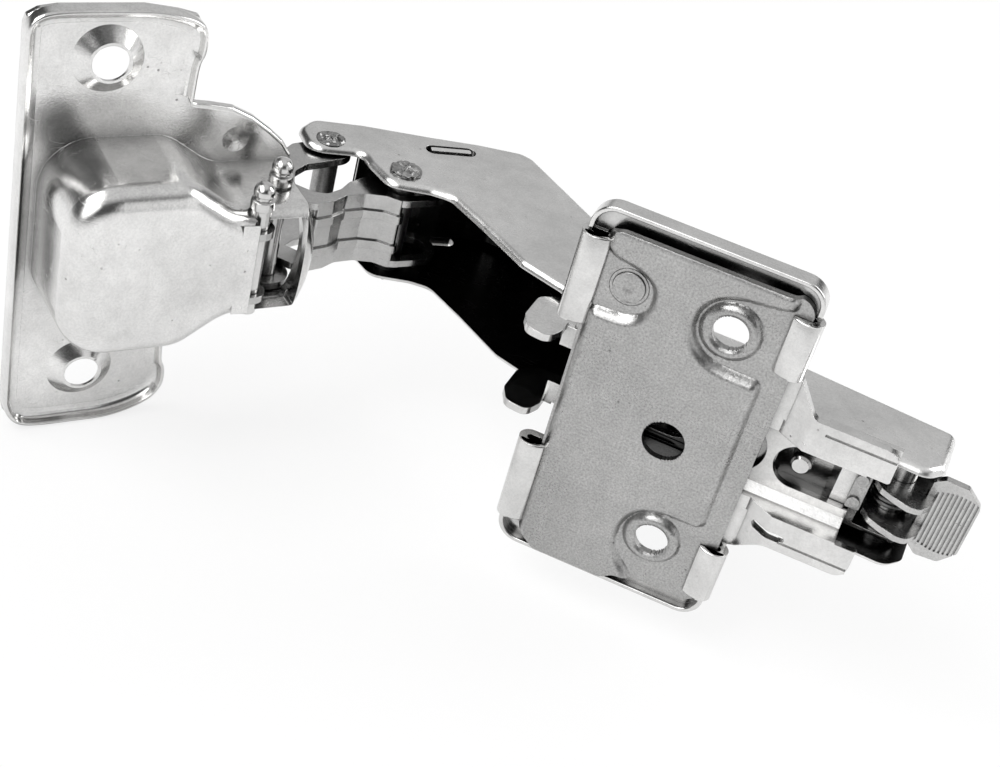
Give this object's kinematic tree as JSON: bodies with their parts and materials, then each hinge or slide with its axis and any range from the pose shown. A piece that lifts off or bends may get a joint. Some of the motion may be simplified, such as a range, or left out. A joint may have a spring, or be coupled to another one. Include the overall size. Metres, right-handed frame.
{
  "type": "concealed cup hinge",
  "caption": "Open concealed cabinet hinge: drawn cup and flange on a four-bar linkage, sprung channel arm, stamped mounting plate with height cam, ribbed release lever.",
  "frame": {"origin": "on the contact face of the cabinet plate, midway between its two screw holes", "axes": "+Z along the hinge pins, -Y out of the contact face towards the cabinet side wall, +X towards the release lever, the cup on the -X side"},
  "size_m": [0.1194, 0.0555, 0.0612],
  "materials": {
    "plate_steel": "satin nickel plate with a fine rolled grain",
    "pressed_steel": "bright nickel-plated pressed steel",
    "cup_steel": "bright nickel-plated deep-drawn steel",
    "link_steel": "nickel-plated stamped steel",
    "pin_steel": "polished plated steel",
    "screw_steel": "plated screw steel",
    "spring_steel": "spring steel"
  },
  "bodies": {
    "plate": {"cabinet_plate": "plate_steel"},
    "cam": {"height_cam": "screw_steel"},
    "wing": {"wing_plate": "pressed_steel"},
    "carriage": {"clip_carriage": "pressed_steel", "catch_strip": "pressed_steel", "upper_catch_rivet": "pin_steel", "lower_catch_rivet": "pin_steel"},
    "depth_lock": {"depth_screw": "screw_steel"},
    "overlay_drive": {"overlay_screw": "screw_steel"},
    "arm": {"hinge_arm": "pressed_steel", "rear_link_pin": "pin_steel", "lever_pin": "pin_steel", "closing_spring": "spring_steel"},
    "lever": {"release_lever": "pressed_steel", "lever_spring": "spring_steel"},
    "short_link": {"upper_short_link": "link_steel", "lower_short_link": "link_steel", "front_link_pin": "pin_steel"},
    "cup": {"hinge_cup": "cup_steel", "cup_pin": "pin_steel"},
    "long_link": {"long_link": "link_steel"}
  },
  "joints": [
    {"name": "height_cam_turn", "type": "hinge", "parent": "plate", "child": "cam", "pos_m": [-0.0126, 0.0015, 0.0164], "axis": [0, 1, 0], "range_deg": [-60.1, 60.1]},
    {"name": "height_slide", "type": "slide", "parent": "plate", "child": "wing", "axis": [0, 0, 1], "range_m": [-0.0015, 0.0015]},
    {"name": "depth_slide", "type": "slide", "parent": "wing", "child": "carriage", "axis": [1, 0, 0], "range_m": [-0.0008, 0.0022]},
    {"name": "depth_screw_turn", "type": "hinge", "parent": "carriage", "child": "depth_lock", "pos_m": [0.0132, 0.009, 0], "axis": [0, 1, 0], "range_deg": [-90, 90]},
    {"name": "overlay_tilt", "type": "hinge", "parent": "carriage", "child": "arm", "pos_m": [0.0245, 0.0074, 0], "axis": [0, 0, 1], "range_deg": [-2, 2]},
    {"name": "overlay_screw_turn", "type": "hinge", "parent": "carriage", "child": "overlay_drive", "pos_m": [0.0042, 0.008, 0], "axis": [0, 1, 0], "range_deg": [-256, 256]},
    {"name": "lever_turn", "type": "hinge", "parent": "arm", "child": "lever", "pos_m": [0.0245, 0.0074, 0], "axis": [0, 0, 1], "range_deg": [0, 15], "stiffness_Nm_per_rad": 0.02, "springref_deg": -11.46},
    {"name": "short_link_swing", "type": "hinge", "parent": "arm", "child": "short_link", "pos_m": [-0.0589, 0.0222, 0], "axis": [0, 0, 1], "range_deg": [-20.6, 0]},
    {"name": "cup_swing", "type": "hinge", "parent": "short_link", "child": "cup", "pos_m": [-0.05892, 0.00733, 0], "axis": [0, 0, 1], "range_deg": [-117.88, 0]},
    {"name": "long_link_swing", "type": "hinge", "parent": "cup", "child": "long_link", "pos_m": [-0.05796, 0.00059, 0], "axis": [0, 0, 1], "range_deg": [0, 96.9]}
  ],
  "couplings": [
    {"joint": "height_cam_turn", "follows": "height_slide", "rad_per_m": -698.3},
    {"joint": "overlay_screw_turn", "follows": "overlay_tilt", "ratio": 127.55},
    {"joint": "short_link_swing", "follows": "cup_swing", "ratio": 0.17357},
    {"joint": "long_link_swing", "follows": "cup_swing", "ratio": -0.82117}
  ]
}
